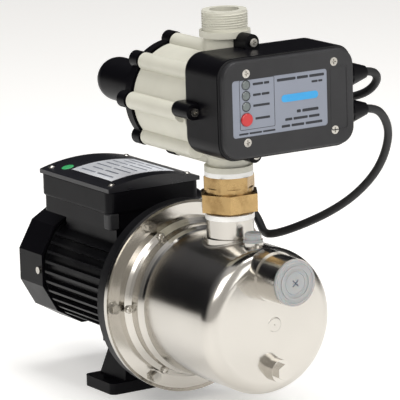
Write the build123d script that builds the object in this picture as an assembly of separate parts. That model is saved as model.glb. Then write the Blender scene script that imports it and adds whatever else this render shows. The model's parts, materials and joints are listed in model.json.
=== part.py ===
"""Shallow well jet pump with an electronic pressure controller on its outlet.

The origin is on the floor in the middle of the foot's bolt pattern.
+X points along the shaft towards the suction port, +Z is up.
"""
import math
import os

from build123d import *

# ---- driving dimensions, millimetres ----
AXIS_Z = 105.0            # shaft height above the floor
FLANGE_X = 88.0           # front face of the motor bracket, where the casing is bolted on
FLANGE_R = 94.0
BOLT_CIRCLE_R = 85.0
BOLT_COUNT = 6

# stainless casing
SHEET = 2.0
CASING_R = 70.0
CASING_SHOULDER_X = FLANGE_X + 132.0
DOME_DEPTH = 20.0
SHOULDER_R = 15.0
DOME_X = CASING_SHOULDER_X + DOME_DEPTH

# ports, G 1 1/4 threads
THREAD_MINOR_R = 19.5
THREAD_MAJOR_R = 20.95
PORT_R = 22.5
SUCTION_Z = AXIS_Z + 46.0
SUCTION_END_X = FLANGE_X + 186.0
SUCTION_MOUTH_R = 20.5
SUCTION_MOUTH_DEPTH = 5.0
OUTLET_X = FLANGE_X + 80.0
STUB_TOP_Z = 195.0

# motor
HOUSING_IN_R = 50.0
HOUSING_R = 53.0
FIN_TIP_R = 58.5
FIN_COUNT = 36
FIN_THICK = 2.6
HOUSING_REAR_X = FLANGE_X - 178.0
HOUSING_FRONT_X = FLANGE_X - 20.0
STATOR_X0 = FLANGE_X - 150.0
STATOR_X1 = FLANGE_X - 62.0
ROTOR_R = 31.7
SHAFT_R = 8.0
BEARING_IN_R = 11.5
BEARING_OUT_R0 = 15.5
BEARING_OUT_R = 20.0
BEARING_W = 12.0
REAR_BEARING_X = HOUSING_REAR_X - 4.0
FRONT_BEARING_X = FLANGE_X - 36.0
FAN_X = FLANGE_X - 212.0
FAN_R = 50.0
COVER_X0 = FLANGE_X - 228.0
COVER_X1 = FLANGE_X - 178.0
COVER_R = 59.5
COVER_SCREW_TURNS = (90, 180, 270)
WALL = 2.5

# foot
FOOT_LENGTH = 54.0
FOOT_WIDTH = 104.0
FOOT_BASE = 11.0
FOOT_HOLE_Y = 40.0
FOOT_HOLE_R = 4.5
CRADLE_Z = 42.0
CRADLE_LENGTH = 50.0

# terminal box on the motor
TBOX_X0 = FLANGE_X - 186.0
TBOX_X1 = FLANGE_X - 57.0
TBOX_Y = 50.0
TBOX_Z0 = 165.0
TBOX_Z1 = 201.0
LID_TOP_Z = 214.0

# controller
DRUM_Y = -6.0
DRUM_Z = 303.0
DRUM_R = 50.5
DRUM_X0 = FLANGE_X + 5.0
DRUM_X1 = FLANGE_X + 96.0
LOBE_COUNT = 8
LOBE_CIRCLE_R = 50.5
LOBE_R = 8.5
RING_R = 52.5
DOME_END_X = FLANGE_X - 126.0
SPRING_DOME_R = 21.5
BOX_X0 = DRUM_X1
BOX_LUG_X = FLANGE_X + 94.0
BOX_X1 = FLANGE_X + 153.0
BOX_Y0 = -57.0
BOX_Y1 = 91.0
BOX_Z0 = 265.0
BOX_Z1 = 360.0
BOX_CORNER = 18.0
PANEL_THICK = 7.0
PANEL_X = BOX_X1 + 1.0
PANEL_FACE_X = PANEL_X + PANEL_THICK
THREAD_TOP_Z = 393.0
NECK_Z = 246.0

# cables
CABLE_R = 4.0
LEAD_R = 4.0
CORD_ARC = 0.45

# smaller features of the casing, controller and cords
PRIMING_X = FLANGE_X + 119.0
DRAIN_Z = AXIS_Z - 43.0
DRAIN_FACE_X = DOME_X + 10.0
TBOX_GLAND_X = FLANGE_X - 88.0
TBOX_GLAND_Z = 180.0
TBOX_GLAND_LENGTH = 20.0
VALVE_SEAT_Z = NECK_Z + 12.0
GLAND_X = FLANGE_X + 140.0
GLAND_LENGTH = 24.0
GLAND_THREAD_R = 5.95
LEAD_GLAND_Z = 328.0
CABLE_GLAND_Z = 293.0
PANEL_Y0 = BOX_Y0 + 2.5
PANEL_Y1 = BOX_Y1 - 2.5
PANEL_Z0 = BOX_Z0 + 2.5
PANEL_Z1 = BOX_Z1 - 2.5
LABEL_Y0 = PANEL_Y0 + 9
LABEL_Y1 = PANEL_Y1 - 30
LABEL_Z0 = PANEL_Z0 + 20
LABEL_Z1 = PANEL_Z1 - 17
LED_Y = PANEL_Y0 + 24.0
LED_Z = (335.5, 325.5, 315.5)
LED_R = 4.0
BUTTON_Z = 303.5
BUTTON_R = 6.0
BUTTON_CLEAR = 0.3
COIL_R = 48.0
COIL_X = -72.0
COIL_Y = 117.0 + COIL_R
COIL_BUNDLE_R = 8.2
PLUG_X = COIL_X - COIL_R + 1
PLUG_Y = COIL_Y + 62.0
PLUG_Z = 18.0

os.makedirs("parts", exist_ok=True)


# ---- small shape helpers ----
def rod_x(radius, x0, x1, y=0.0, z=AXIS_Z):
    rod = Cylinder(radius, x1 - x0, align=(Align.CENTER, Align.CENTER, Align.MIN))
    return Pos(x0, y, z) * Rot(0, 90, 0) * rod


def rod_y(radius, y0, y1, x, z):
    rod = Cylinder(radius, y1 - y0, align=(Align.CENTER, Align.CENTER, Align.MIN))
    return Pos(x, y0, z) * Rot(-90, 0, 0) * rod


def rod_z(radius, z0, z1, x=0.0, y=0.0):
    rod = Cylinder(radius, z1 - z0, align=(Align.CENTER, Align.CENTER, Align.MIN))
    return Pos(x, y, z0) * rod


def tube_x(outer, inner, x0, x1, y=0.0, z=AXIS_Z):
    return rod_x(outer, x0, x1, y, z) - rod_x(inner, x0 - 1, x1 + 1, y, z)


def tube_z(outer, inner, z0, z1, x=0.0, y=0.0):
    return rod_z(outer, z0, z1, x, y) - rod_z(inner, z0 - 1, z1 + 1, x, y)


def block(x0, x1, y0, y1, z0, z1):
    centre = Pos((x0 + x1) / 2, (y0 + y1) / 2, (z0 + z1) / 2)
    return centre * Box(x1 - x0, y1 - y0, z1 - z0)


def hex_z(across_flats, z0, z1, x=0.0, y=0.0, turn=0.0):
    outline = RegularPolygon(across_flats / math.sqrt(3), 6)
    return Pos(x, y, z0) * Rot(0, 0, turn) * extrude(outline, z1 - z0)


def hex_x(across_flats, x0, x1, y=0.0, z=AXIS_Z, turn=0.0):
    outline = RegularPolygon(across_flats / math.sqrt(3), 6)
    return Pos(x0, y, z) * Rot(0, 90, 0) * Rot(0, 0, turn) * extrude(outline, x1 - x0)


def turned_x(profile, y=0.0, z=AXIS_Z):
    """Solid of revolution about a line along X, from (x, radius) points."""
    face = make_face(Polyline(*[(x, r) for x, r in profile], close=True))
    return Pos(0, y, z) * revolve(face, Axis.X, 360)


def around_x(radius, angle, y=0.0, z=AXIS_Z):
    """Point at an angle from +Y towards +Z on a circle about a line along X."""
    turn = math.radians(angle)
    return y + radius * math.cos(turn), z + radius * math.sin(turn)


def rounded_box_x(x0, x1, y0, y1, z0, z1, corner):
    outline = RectangleRounded(z1 - z0, y1 - y0, corner)
    return Pos(x0, (y0 + y1) / 2, (z0 + z1) / 2) * Rot(0, 90, 0) * extrude(outline, x1 - x0)


def rounded_box_z(x0, x1, y0, y1, z0, z1, corner):
    outline = RectangleRounded(x1 - x0, y1 - y0, corner)
    return Pos((x0 + x1) / 2, (y0 + y1) / 2, z0) * extrude(outline, z1 - z0)


def save(name, *pieces):
    solids = []
    for piece in pieces:
        solids.extend(piece.solids())
    shape = solids[0] if len(solids) == 1 else Compound(children=solids)
    export_step(shape, f"parts/{name}.step")


def screw_x(head_r, head_h, shank_r, x_seat, length, y, z):
    """Screw seated at x_seat with its head towards +X."""
    head = rod_x(head_r, x_seat, x_seat + head_h, y, z)
    slot_a = block(x_seat + head_h * 0.5, x_seat + head_h + 1, y - 0.5, y + 0.5, z - head_r * 0.6, z + head_r * 0.6)
    slot_b = block(x_seat + head_h * 0.5, x_seat + head_h + 1, y - head_r * 0.6, y + head_r * 0.6, z - 0.5, z + 0.5)
    return head - slot_a - slot_b + rod_x(shank_r, x_seat - length, x_seat, y, z)


# ---- motor ----
def motor_housing():
    shell = tube_x(HOUSING_R, HOUSING_IN_R, HOUSING_REAR_X, HOUSING_FRONT_X)
    fin_length = HOUSING_FRONT_X - HOUSING_REAR_X - 8
    fin_x = (HOUSING_FRONT_X + HOUSING_REAR_X) / 2
    fin_r = (FIN_TIP_R + HOUSING_R) / 2
    for i in range(FIN_COUNT):
        angle = i * 360 / FIN_COUNT
        under_box = 40 < angle < 140
        over_foot = 232 < angle < 308
        if under_box or over_foot:
            continue
        fin = Box(fin_length, FIN_TIP_R - HOUSING_R + 2, FIN_THICK)
        shell += Pos(fin_x, 0, AXIS_Z) * Rot(angle, 0, 0) * Pos(0, fin_r - 1, 0) * fin
    return shell


def stator_core():
    return tube_x(HOUSING_IN_R, ROTOR_R + 0.4, STATOR_X0, STATOR_X1)


def stator_windings():
    rear = tube_x(46, 34, STATOR_X0 - 16, STATOR_X0)
    front = tube_x(46, 34, STATOR_X1, STATOR_X1 + 16)
    return rear, front


def rotor_core():
    return tube_x(ROTOR_R, SHAFT_R, STATOR_X0, STATOR_X1)


def shaft():
    rear = FAN_X - 6
    front = FLANGE_X + 34
    return rod_x(SHAFT_R, rear, front)


def bearing_races(x):
    """Inner and outer ring of a deep groove ball bearing starting at x."""
    ball_path = (BEARING_IN_R + BEARING_OUT_R0) / 2
    groove = Torus(ball_path, 2.6)
    groove = Pos(x + BEARING_W / 2, 0, AXIS_Z) * Rot(0, 90, 0) * groove
    inner = tube_x(BEARING_IN_R, SHAFT_R, x, x + BEARING_W) - groove
    outer = tube_x(BEARING_OUT_R, BEARING_OUT_R0, x, x + BEARING_W) - groove
    return inner, outer


def bearing_balls(x):
    ball_path = (BEARING_IN_R + BEARING_OUT_R0) / 2
    balls = []
    for i in range(8):
        y, z = around_x(ball_path, i * 45 + 10)
        balls.append(Pos(x + BEARING_W / 2, y, z) * Sphere(2.5))
    return balls


def front_bracket():
    """Cast adaptor between motor and pump, with the front bearing seat."""
    plate = rod_x(FLANGE_R - 1, FLANGE_X - 14, FLANGE_X)
    barrel = rod_x(HOUSING_R + 4, HOUSING_FRONT_X - 4, FLANGE_X - 14)
    spigot = rod_x(HOUSING_IN_R, HOUSING_FRONT_X - 12, HOUSING_FRONT_X)
    seat = rod_x(BEARING_OUT_R + 6, FRONT_BEARING_X, FLANGE_X - 14)
    body = plate + barrel - tube_x(HOUSING_R + 10, HOUSING_IN_R, HOUSING_FRONT_X - 12, HOUSING_FRONT_X)
    body += spigot
    cavity = tube_x(HOUSING_IN_R - 5, BEARING_OUT_R + 6, HOUSING_FRONT_X - 20, FLANGE_X - 18)
    body -= cavity
    body += seat
    body -= rod_x(BEARING_OUT_R, FRONT_BEARING_X - 1, FRONT_BEARING_X + BEARING_W)
    body -= rod_x(13, FRONT_BEARING_X, FLANGE_X + 1)
    for i in range(BOLT_COUNT):
        y, z = around_x(BOLT_CIRCLE_R, i * 60)
        body -= rod_x(3.0, FLANGE_X - 16, FLANGE_X + 1, y, z)
    lug = block(HOUSING_FRONT_X - 6, FLANGE_X - 14, -30, 30, 32, AXIS_Z - HOUSING_R + 8)
    body += lug - rod_x(HOUSING_R, HOUSING_FRONT_X - 8, FLANGE_X)
    return body


def rear_end_shield():
    plate = rod_x(HOUSING_R + 3, HOUSING_REAR_X - 8, HOUSING_REAR_X)
    spigot = tube_x(HOUSING_IN_R, HOUSING_IN_R - 5, HOUSING_REAR_X - 1, HOUSING_REAR_X + 6)
    seat = rod_x(BEARING_OUT_R + 6, HOUSING_REAR_X - 8, REAR_BEARING_X + BEARING_W)
    body = plate + spigot + seat
    body -= rod_x(BEARING_OUT_R, REAR_BEARING_X, REAR_BEARING_X + BEARING_W + 1)
    body -= rod_x(SHAFT_R + 1, HOUSING_REAR_X - 10, REAR_BEARING_X + 1)
    return body


def fan():
    body = tube_x(14, SHAFT_R, FAN_X - 2, FAN_X + 14)
    body += tube_x(FAN_R - 6, 13, FAN_X + 10, FAN_X + 13)
    for i in range(8):
        blade = Box(13, FAN_R - 13, 2.2)
        body += Pos(FAN_X + 5, 0, AXIS_Z) * Rot(i * 45, 0, 0) * Pos(0, (FAN_R + 13) / 2 - 0.5, 0) * blade
    return body


def faceted_prism(flat_r, x0, x1):
    outline = RegularPolygon(flat_r, 12, major_radius=False)
    return Pos(x0, 0, AXIS_Z) * Rot(0, 90, 0) * Rot(0, 0, 15) * extrude(outline, x1 - x0)


def fan_cover():
    """Twelve-sided cover with a chamfered rear edge and an air grille in its rear face."""
    outer = faceted_prism(COVER_R, COVER_X0, COVER_X1)
    outer = chamfer(outer.faces().sort_by(Axis.X)[0].edges(), 5)
    inner = faceted_prism(COVER_R - WALL, COVER_X0 + WALL, COVER_X1 + 1)
    inner = chamfer(inner.faces().sort_by(Axis.X)[0].edges(), 4)
    body = outer - inner
    for turn in COVER_SCREW_TURNS:
        hole = Pos(0, 0, COVER_R) * Cylinder(2.0, 12)
        body -= Pos(COVER_X1 - 5, 0, AXIS_Z) * Rot(turn, 0, 0) * hole
    for ring_r in (24, 33, 42, 51):
        for i in range(12):
            y, z = around_x(ring_r, i * 30 + 15)
            slot = Box(3 * WALL, 4.5, ring_r * 0.36)
            body -= Pos(COVER_X0 + WALL / 2, y, z) * Rot(i * 30 + 15, 0, 0) * slot
    return body


def fan_cover_screws():
    screws = []
    for turn in COVER_SCREW_TURNS:
        placed = Pos(COVER_X1 - 5, 0, AXIS_Z) * Rot(turn, 0, 0)
        head = rod_z(3.6, COVER_R, COVER_R + 2.4)
        shank = rod_z(1.9, HOUSING_R + 3, COVER_R)
        screws.append(placed * (head + shank))
    return screws


# ---- foot ----
def foot():
    """Base pad, waisted pedestal and the cradle that the motor housing rests in."""
    base = rounded_box_z(-FOOT_LENGTH / 2, FOOT_LENGTH / 2, -FOOT_WIDTH / 2, FOOT_WIDTH / 2, 0, FOOT_BASE, 6)
    lower = Pos(0, 0, FOOT_BASE) * Rectangle(FOOT_LENGTH - 6, FOOT_WIDTH - 34)
    upper = Pos(0, 0, CRADLE_Z) * Rectangle(FOOT_LENGTH - 24, 56)
    body = base + loft([lower, upper])
    body += block(-CRADLE_LENGTH / 2, CRADLE_LENGTH / 2, -30, 30, CRADLE_Z, AXIS_Z - HOUSING_R + 14)
    body -= rod_x(HOUSING_R, -FOOT_LENGTH, FOOT_LENGTH)
    for side in (-1, 1):
        body -= rod_z(FOOT_HOLE_R, -1, FOOT_BASE + 1, 0, side * FOOT_HOLE_Y)
    return body


# ---- terminal box ----
def terminal_box():
    outer = rounded_box_z(TBOX_X0, TBOX_X1, -TBOX_Y, TBOX_Y, TBOX_Z0, TBOX_Z1, 6)
    neck = block(TBOX_X0 + 16, TBOX_X1 - 16, -34, 34, AXIS_Z + 30, TBOX_Z0)
    inner = rounded_box_z(TBOX_X0 + 3, TBOX_X1 - 3, 3 - TBOX_Y, TBOX_Y - 3, TBOX_Z0 + 3, TBOX_Z1 + 1, 4)
    body = outer + neck - inner
    body -= rod_x(HOUSING_R, TBOX_X0, TBOX_X1)
    for x, y in lid_screw_places():
        body += rod_z(4.5, TBOX_Z0, TBOX_Z1, x, y)
        body -= rod_z(1.8, TBOX_Z1 - 14, TBOX_Z1 + 1, x, y)
    body -= rod_y(6.0, TBOX_Y - 4, TBOX_Y + 1, TBOX_GLAND_X, TBOX_GLAND_Z)
    return body


def lid_screw_places():
    places = []
    for x in (TBOX_X0 + 7, TBOX_X1 - 7):
        for y in (7 - TBOX_Y, TBOX_Y - 7):
            places.append((x, y))
    return places


def lid_gasket():
    outer = rounded_box_z(TBOX_X0, TBOX_X1, -TBOX_Y, TBOX_Y, TBOX_Z1, TBOX_Z1 + 1.5, 6)
    inner = rounded_box_z(TBOX_X0 + 3, TBOX_X1 - 3, 3 - TBOX_Y, TBOX_Y - 3, TBOX_Z1 - 1, TBOX_Z1 + 3, 4)
    body = outer - inner
    for x, y in lid_screw_places():
        body -= rod_z(2.2, TBOX_Z1 - 1, TBOX_Z1 + 3, x, y)
    return body


def terminal_lid():
    """Lid with a top that rises gently to its middle line along X."""
    z0 = TBOX_Z1 + 1.5
    half = TBOX_Y + 2
    rise = LID_TOP_Z - z0
    crown = ThreePointArc((half, z0 + 4), (0, z0 + rise), (-half, z0 + 4))
    skirt = Polyline((-half, z0 + 4), (-half, z0), (half, z0), (half, z0 + 4))
    profile = Plane.YZ * make_face([crown, skirt])
    body = Pos(TBOX_X0 - 2, 0, 0) * extrude(profile, TBOX_X1 - TBOX_X0 + 4)
    for x, y in lid_screw_places():
        body -= rod_z(2.2, z0 - 1, z0 + 20, x, y)
        body -= rod_z(4.2, z0 + 3.0, z0 + 20, x, y)
    return body


def lid_screws():
    screws = []
    for x, y in lid_screw_places():
        seat = TBOX_Z1 + 4.5
        head = rod_z(3.8, seat, seat + 2.6, x, y)
        head -= block(x - 2.4, x + 2.4, y - 0.5, y + 0.5, seat + 1.4, seat + 3)
        head -= block(x - 0.5, x + 0.5, y - 2.4, y + 2.4, seat + 1.4, seat + 3)
        screws.append(head + rod_z(1.75, TBOX_Z1 - 10, seat, x, y))
    return screws


def capacitor():
    return rod_x(12.0, TBOX_X0 + 18, TBOX_X0 + 76, -18, TBOX_Z0 + 15.5)


def terminal_block():
    body = block(TBOX_X0 + 30, TBOX_X0 + 66, 14, 28, TBOX_Z0 + 3, TBOX_Z0 + 15)
    for i in range(4):
        body -= rod_z(2.6, TBOX_Z0 + 9, TBOX_Z0 + 16, TBOX_X0 + 34.5 + i * 9, 21)
    return body


def gland_body_y(x, z, y0, length, cap_r):
    """Cable gland on a wall facing +Y: thread, hexagon and tapered cap."""
    hexagon = Pos(x, y0, z) * Rot(-90, 0, 0) * extrude(RegularPolygon(cap_r + 1, 6), 5)
    cone = Cone(cap_r, 6, length - 5, align=(Align.CENTER, Align.CENTER, Align.MIN))
    body = hexagon + Pos(x, y0 + 5, z) * Rot(-90, 0, 0) * cone
    body += rod_y(GLAND_THREAD_R, y0 - 3, y0, x, z)
    return body - rod_y(CABLE_R, y0 - 8, y0 + length + 1, x, z)


# ---- stainless casing ----
def casing_turned(points, wall):
    """Turned solid that closes a wall outline with the rounded shoulder and a spherical dome."""
    shoulder = SHOULDER_R - wall
    edge_r = CASING_R - SHOULDER_R
    edge_x = CASING_SHOULDER_X + shoulder
    apex_x = DOME_X - wall
    sagitta = apex_x - edge_x
    sphere_r = (edge_r ** 2 + sagitta ** 2) / (2 * sagitta)
    half_turn = math.asin(edge_r / sphere_r) / 2
    corner = shoulder * math.sin(math.radians(45))
    lines = Polyline(*points, (CASING_SHOULDER_X, CASING_R - wall))
    arc = ThreePointArc(lines @ 1, (CASING_SHOULDER_X + corner, edge_r + corner), (edge_x, edge_r))
    dome_mid = (apex_x - sphere_r * (1 - math.cos(half_turn)), sphere_r * math.sin(half_turn))
    dome = ThreePointArc((edge_x, edge_r), dome_mid, (apex_x, 0))
    base = Line((apex_x, 0), points[0])
    face = make_face([lines, arc, dome, base])
    return Pos(0, 0, AXIS_Z) * revolve(face, Axis.X, 360)


def casing_solid():
    flat = FLANGE_X + 3
    points = [
        (FLANGE_X, 0), (FLANGE_X, FLANGE_R), (flat + 2, FLANGE_R), (flat, FLANGE_R - 3),
        (flat, 79), (flat + 8, 78), (flat + 11, 75.5), (flat + 14, 73.5), (flat + 24, 73),
        (flat + 28, 71), (flat + 31, CASING_R),
    ]
    return casing_turned(points, 0)


def casing_hollow():
    flat = FLANGE_X + 3
    points = [
        (FLANGE_X - 1, 0), (FLANGE_X - 1, 76), (flat + 6, 76), (flat + 9, 73.3), (flat + 12, 71.3),
        (flat + 22, 70.8), (flat + 26, 69), (flat + 30, CASING_R - SHEET),
    ]
    return casing_turned(points, SHEET)


def pump_casing():
    body = casing_solid()
    body -= casing_hollow()
    body -= rod_z(THREAD_MINOR_R, AXIS_Z, STUB_TOP_Z, OUTLET_X)
    body -= rod_z(5.0, AXIS_Z, STUB_TOP_Z, PRIMING_X)
    body -= rod_x(THREAD_MINOR_R, DOME_X - 40, DOME_X + 10, 0, SUCTION_Z)
    body -= rod_x(5.0, DOME_X - 40, DOME_X + 10, 0, DRAIN_Z)
    for i in range(BOLT_COUNT):
        y, z = around_x(BOLT_CIRCLE_R, i * 60)
        body -= rod_x(3.0, FLANGE_X - 1, FLANGE_X + 20, y, z)
    return body


def outlet_stub(envelope):
    body = rod_z(PORT_R, AXIS_Z + 40, STUB_TOP_Z, OUTLET_X)
    body += rod_z(PORT_R + 2.5, AXIS_Z + 40, AXIS_Z + CASING_R + 2.5, OUTLET_X)
    body -= envelope
    return body - rod_z(THREAD_MINOR_R, AXIS_Z, STUB_TOP_Z + 1, OUTLET_X)


def suction_nozzle(envelope):
    body = rod_x(PORT_R, DOME_X - 12, SUCTION_END_X, 0, SUCTION_Z)
    body += rod_x(PORT_R + 1.5, DOME_X - 12, DOME_X + 4, 0, SUCTION_Z)
    body -= envelope
    body -= rod_x(THREAD_MINOR_R, DOME_X - 40, SUCTION_END_X + 1, 0, SUCTION_Z)
    mouth_x = SUCTION_END_X - SUCTION_MOUTH_DEPTH
    return body - rod_x(SUCTION_MOUTH_R, mouth_x, SUCTION_END_X + 1, 0, SUCTION_Z)


def priming_boss(envelope):
    top = AXIS_Z + CASING_R + 3
    body = rod_z(9.5, AXIS_Z + 50, top, PRIMING_X) - envelope
    return body - rod_z(5.0, AXIS_Z, top + 1, PRIMING_X)


def drain_boss(envelope):
    body = rod_x(11.0, DOME_X - 15, DRAIN_FACE_X, 0, DRAIN_Z) - envelope
    return body - rod_x(5.0, DOME_X - 40, DRAIN_FACE_X + 1, 0, DRAIN_Z)


def priming_plug():
    seat = AXIS_Z + CASING_R + 3
    cap = rod_z(8.0, seat, seat + 9, PRIMING_X) + rod_z(9.2, seat, seat + 2.5, PRIMING_X)
    cap = chamfer(cap.faces().sort_by(Axis.Z)[-1].edges(), 1.5)
    return cap + rod_z(4.9, seat - 8, seat, PRIMING_X)


def drain_plug():
    head = hex_x(14, DRAIN_FACE_X, DRAIN_FACE_X + 6, 0, DRAIN_Z)
    return head + rod_x(4.9, DRAIN_FACE_X - 9, DRAIN_FACE_X, 0, DRAIN_Z)


def suction_cap():
    """Moulded transport cap: a disc over the mouth with a short plug inside the counterbore."""
    disc = rod_x(PORT_R - 0.8, SUCTION_END_X, SUCTION_END_X + 2.5, 0, SUCTION_Z)
    ring = tube_x(16.0, 14.0, SUCTION_END_X + 2.5, SUCTION_END_X + 3.5, 0, SUCTION_Z)
    plug_x = SUCTION_END_X - SUCTION_MOUTH_DEPTH + 1.0
    plug = tube_x(SUCTION_MOUTH_R - 0.05, SUCTION_MOUTH_R - 2, plug_x, SUCTION_END_X, 0, SUCTION_Z)
    return disc + ring + plug


def casing_backplate():
    plate = rod_x(75.9, FLANGE_X, FLANGE_X + 2.5)
    return plate - rod_x(13, FLANGE_X - 1, FLANGE_X + 4)


def casing_o_ring():
    section_r = 1.2
    ring = Pos(FLANGE_X + 4.2, 0, AXIS_Z) * Rot(0, 90, 0) * Torus(74.0, section_r)
    return ring


def flange_bolts():
    bolts = []
    for i in range(BOLT_COUNT):
        y, z = around_x(BOLT_CIRCLE_R, i * 60)
        seat = FLANGE_X + 3
        washer = rod_x(5.6, seat, seat + 1.2, y, z)
        head = hex_x(9, seat + 1.2, seat + 6, y, z)
        shank = rod_x(2.9, FLANGE_X - 20, seat, y, z)
        bolts.append(washer + head + shank)
    return bolts


def flange_inner_screws():
    screws = []
    for i in range(BOLT_COUNT):
        y, z = around_x(76.0, i * 60)
        screws.append(rod_x(3.6, FLANGE_X + 13.0, FLANGE_X + 17.5, y, z) - casing_solid())
    return screws


# ---- hydraulic parts inside the casing ----
def seal_seat():
    return tube_x(13, SHAFT_R + 0.6, FLANGE_X - 4, FLANGE_X + 2.5)


def seal_rotating():
    return tube_x(12, SHAFT_R, FLANGE_X + 2.55, FLANGE_X + 9)


def impeller():
    body = tube_x(50, SHAFT_R, FLANGE_X + 9, FLANGE_X + 11.5)
    body += tube_x(13, SHAFT_R, FLANGE_X + 9, FLANGE_X + 22)
    body += tube_x(50, 18, FLANGE_X + 17, FLANGE_X + 19)
    for i in range(6):
        vane = Box(6, 33, 2)
        placed = Pos(FLANGE_X + 14.2, 0, AXIS_Z) * Rot(i * 60, 0, 0) * Pos(0, 32, 4)
        body += placed * Rot(20, 0, 0) * vane
    return body


def impeller_nut():
    return hex_x(19, FLANGE_X + 22, FLANGE_X + 30) - rod_x(SHAFT_R, FLANGE_X + 20, FLANGE_X + 32)


def diffuser():
    """Plastic diffuser cup around the impeller with its guide vanes."""
    cup = tube_x(60, 53, FLANGE_X + 4, FLANGE_X + 24)
    front = tube_x(60, 19, FLANGE_X + 24, FLANGE_X + 28)
    body = cup + front
    for i in range(8):
        vane = Box(14, 9, 2)
        body += Pos(FLANGE_X + 35, 0, AXIS_Z) * Rot(i * 45, 0, 0) * Pos(0, 48, 0) * Rot(35, 0, 0) * vane
    return body


def ejector():
    """Venturi tube and jet that return part of the flow to the suction side."""
    profile = [
        (FLANGE_X + 28, 19), (FLANGE_X + 28, 24), (FLANGE_X + 36, 22), (FLANGE_X + 60, 14),
        (FLANGE_X + 110, 10), (FLANGE_X + 125, 14), (FLANGE_X + 130, 14), (FLANGE_X + 130, 11),
        (FLANGE_X + 112, 6), (FLANGE_X + 60, 10), (FLANGE_X + 36, 19),
    ]
    return turned_x(profile)


# ---- brass union between pump and controller ----
def tape_ring_lower():
    return tube_z(PORT_R + 0.8, 19.0, STUB_TOP_Z, STUB_TOP_Z + 5, OUTLET_X)


def union_tailpiece():
    """Brass tail screwed into the outlet stub, with the coned seat that the nut draws up."""
    body = rod_z(THREAD_MINOR_R - 0.05, STUB_TOP_Z - 14, STUB_TOP_Z, OUTLET_X)
    body += rod_z(19.0, STUB_TOP_Z, STUB_TOP_Z + 12, OUTLET_X)
    body += rod_z(22.0, STUB_TOP_Z + 12, STUB_TOP_Z + 16, OUTLET_X)
    return body - rod_z(14.0, STUB_TOP_Z - 20, STUB_TOP_Z + 20, OUTLET_X)


def union_nut():
    z0 = STUB_TOP_Z + 8
    body = hex_z(52, z0, z0 + 17, OUTLET_X, 0, 29)
    dome = Pos(OUTLET_X, 0, z0 + 8.5) * Sphere(31.2)
    body = body & dome
    body -= rod_z(19.3, z0 - 1, z0 + 4, OUTLET_X)
    return body - rod_z(23.0, z0 + 4, z0 + 18, OUTLET_X)


def union_gasket():
    return tube_z(21.5, 15.0, STUB_TOP_Z + 16, STUB_TOP_Z + 18, OUTLET_X)


def union_top():
    z0 = STUB_TOP_Z + 18
    body = rod_z(22.95, z0, z0 + 12, OUTLET_X)
    body += hex_z(43, z0 + 10, z0 + 23, OUTLET_X, 0, 10) & rod_z(24.2, z0 + 10, z0 + 23, OUTLET_X)
    return body - rod_z(14.0, z0 - 1, z0 + 24, OUTLET_X)


def tape_ring_upper():
    return tube_z(23.0, 14.0, STUB_TOP_Z + 41, STUB_TOP_Z + 45.5, OUTLET_X)


# ---- controller ----
def controller_body():
    """Moulded body: vertical flow tube joined to the round chamber behind it."""
    body = rod_z(20.0, STUB_TOP_Z + 51, 372, OUTLET_X)
    body += rod_z(23.0, STUB_TOP_Z + 45.5, STUB_TOP_Z + 51, OUTLET_X)
    body += rod_z(24.0, 368, 374, OUTLET_X)
    body += rod_z(THREAD_MAJOR_R, 374, THREAD_TOP_Z, OUTLET_X)
    body += rod_x(DRUM_R, DRUM_X0, DRUM_X1, DRUM_Y, DRUM_Z)
    for i in range(LOBE_COUNT):
        y, z = around_x(LOBE_CIRCLE_R, i * 45, DRUM_Y, DRUM_Z)
        body += rod_x(LOBE_R, DRUM_X0, DRUM_X1 - 4, y, z)
    body -= rod_x(44, DRUM_X0 - 1, DRUM_X0 + 34, DRUM_Y, DRUM_Z)
    body -= rod_z(14.0, VALVE_SEAT_Z, THREAD_TOP_Z + 1, OUTLET_X)
    body -= rod_z(11.0, STUB_TOP_Z + 40, VALVE_SEAT_Z + 1, OUTLET_X)
    body -= rod_x(9, DRUM_X0 + 30, OUTLET_X, DRUM_Y, DRUM_Z)
    for i in range(LOBE_COUNT):
        y, z = around_x(LOBE_CIRCLE_R + 1.5, i * 45, DRUM_Y, DRUM_Z)
        body -= rod_x(2.1, DRUM_X0 - 1, DRUM_X0 + 22, y, z)
    return body


def diaphragm():
    return rod_x(47.5, DRUM_X0 - 2.5, DRUM_X0, DRUM_Y, DRUM_Z)


def rear_cover():
    """Ring with screw lugs, bell and spring dome behind the diaphragm."""
    x1 = DRUM_X0 - 2.5
    body = rod_x(RING_R, x1 - 10, x1, DRUM_Y, DRUM_Z)
    for i in range(LOBE_COUNT):
        y, z = around_x(LOBE_CIRCLE_R + 1.5, i * 45, DRUM_Y, DRUM_Z)
        body += rod_x(8.0, x1 - 13, x1, y, z)
    cone = Cone(46, SPRING_DOME_R + 3, 24, align=(Align.CENTER, Align.CENTER, Align.MIN))
    body += Pos(x1 - 10, DRUM_Y, DRUM_Z) * Rot(0, -90, 0) * cone
    body += rod_x(SPRING_DOME_R, DOME_END_X + SPRING_DOME_R, x1 - 20, DRUM_Y, DRUM_Z)
    body += Pos(DOME_END_X + SPRING_DOME_R, DRUM_Y, DRUM_Z) * Sphere(SPRING_DOME_R)
    inner_r = SPRING_DOME_R - WALL
    body -= rod_x(inner_r, DOME_END_X + SPRING_DOME_R, x1 + 1, DRUM_Y, DRUM_Z)
    body -= Pos(DOME_END_X + SPRING_DOME_R, DRUM_Y, DRUM_Z) * Sphere(inner_r)
    for i in range(LOBE_COUNT):
        y, z = around_x(LOBE_CIRCLE_R + 1.5, i * 45, DRUM_Y, DRUM_Z)
        body -= rod_x(2.1, x1 - 20, x1 + 1, y, z)
    return body


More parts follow.
